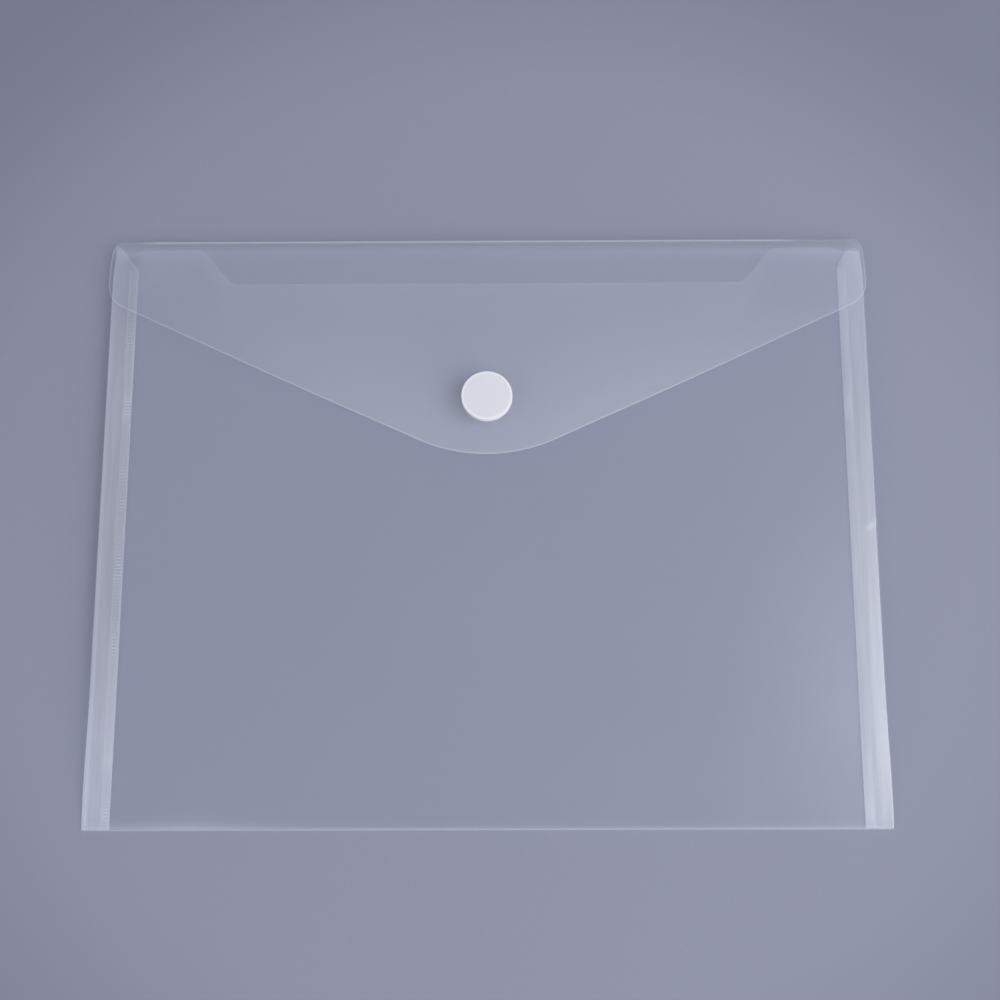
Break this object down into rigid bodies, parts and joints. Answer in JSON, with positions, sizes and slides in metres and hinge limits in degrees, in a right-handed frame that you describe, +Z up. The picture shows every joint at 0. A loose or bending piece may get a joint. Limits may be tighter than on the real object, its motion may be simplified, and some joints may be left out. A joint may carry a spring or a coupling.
{
  "type": "document wallet",
  "caption": "Clear plastic envelope wallet with gusset sides, a notched mouth and a pointed flap that closes with a round hook-and-loop dot, for holding papers.",
  "frame": {"origin": "under the middle of the wallet, at table height, with the back panel lying on the table", "axes": "+X across the wallet, +Y from the bottom fold towards the flap's fold, +Z up off the table"},
  "size_m": [0.33, 0.259, 0.0099],
  "materials": {
    "film": "clear satin polypropylene film",
    "adhesive": "clear pressure-sensitive adhesive film",
    "tape": "white woven tape",
    "pile": "white brushed loop pile",
    "hooks": "white moulded hooks"
  },
  "bodies": {
    "back": {"back_panel": "film", "top_crease": "film", "bottom_fold": "film", "right_gusset_leaf": "film", "left_gusset_leaf": "film", "right_inner_fold": "film", "left_inner_fold": "film", "right_weld_margin": "film", "left_weld_margin": "film"},
    "front": {"front_panel": "film", "right_side_fold": "film", "left_side_fold": "film", "loop_adhesive": "adhesive", "loop_tape": "tape", "loop_pile": "pile"},
    "flap": {"closing_flap": "film", "hook_adhesive": "adhesive", "hook_tape": "tape", "hook_field": "hooks"}
  },
  "joints": [
    {"name": "flap_hinge", "type": "hinge", "parent": "back", "child": "flap", "pos_m": [0, 0.1291, 0.00498], "axis": [-1, 0, 0], "range_deg": [0, 180]},
    {"name": "mouth_hinge", "type": "hinge", "parent": "back", "child": "front", "pos_m": [0, -0.129, 0.0005], "axis": [1, 0, 0], "range_deg": [0, 5], "deforming": ["right_gusset_leaf", "left_gusset_leaf"]}
  ],
  "couplings": [
    {"joint": "mouth_hinge", "follows": "flap_hinge", "ratio": 0.0277}
  ]
}
